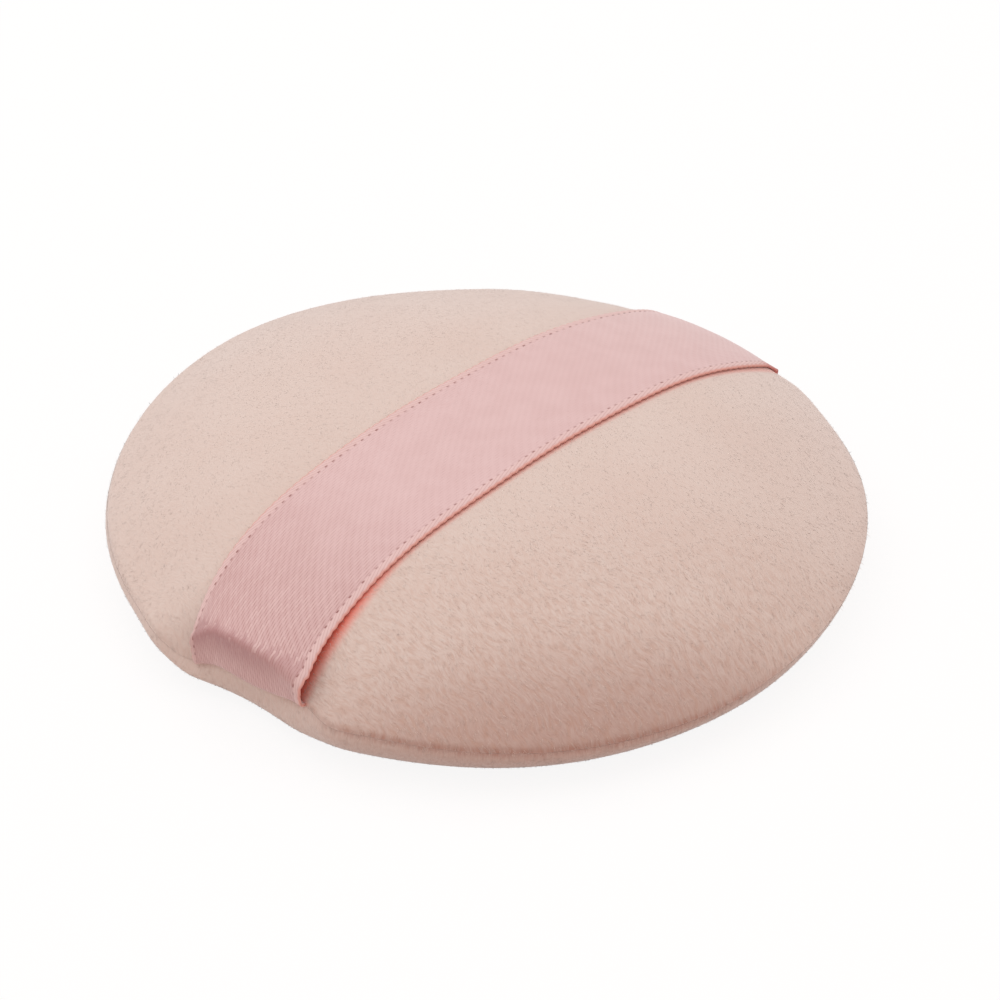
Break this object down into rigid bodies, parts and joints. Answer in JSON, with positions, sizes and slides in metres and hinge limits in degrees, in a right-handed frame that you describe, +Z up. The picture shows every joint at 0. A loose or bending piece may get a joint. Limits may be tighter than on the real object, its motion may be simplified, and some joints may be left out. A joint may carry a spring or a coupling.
{
  "type": "powder puff",
  "caption": "Round domed velour powder puff with a foam core, a turned rim seam and a satin finger ribbon across the crown.",
  "frame": {"origin": "on the table under the middle of the puff", "axes": "+Z up out of the crown, X along the ribbon with its near end at -X"},
  "size_m": [0.0776, 0.08, 0.0177],
  "materials": {
    "velour": "short cut pile, matte",
    "foam": "open-cell foam, matte",
    "satin": "woven satin with selvages, soft gloss",
    "thread": "twisted sewing thread"
  },
  "bodies": {
    "pad": {"top_cover": "velour", "bottom_cover": "velour", "foam_core": "foam", "ribbon_tail_near": "satin", "ribbon_tail_far": "satin", "seam_needle_thread": "thread", "seam_bobbin_thread": "thread", "closing_stitch_thread": "thread"},
    "ribbon": {"ribbon_band": "satin"}
  },
  "joints": [
    {"name": "ribbon_lift", "type": "slide", "parent": "pad", "child": "ribbon", "axis": [0, 0, 1], "range_m": [0, 0.008], "stiffness_N_per_m": 30}
  ]
}
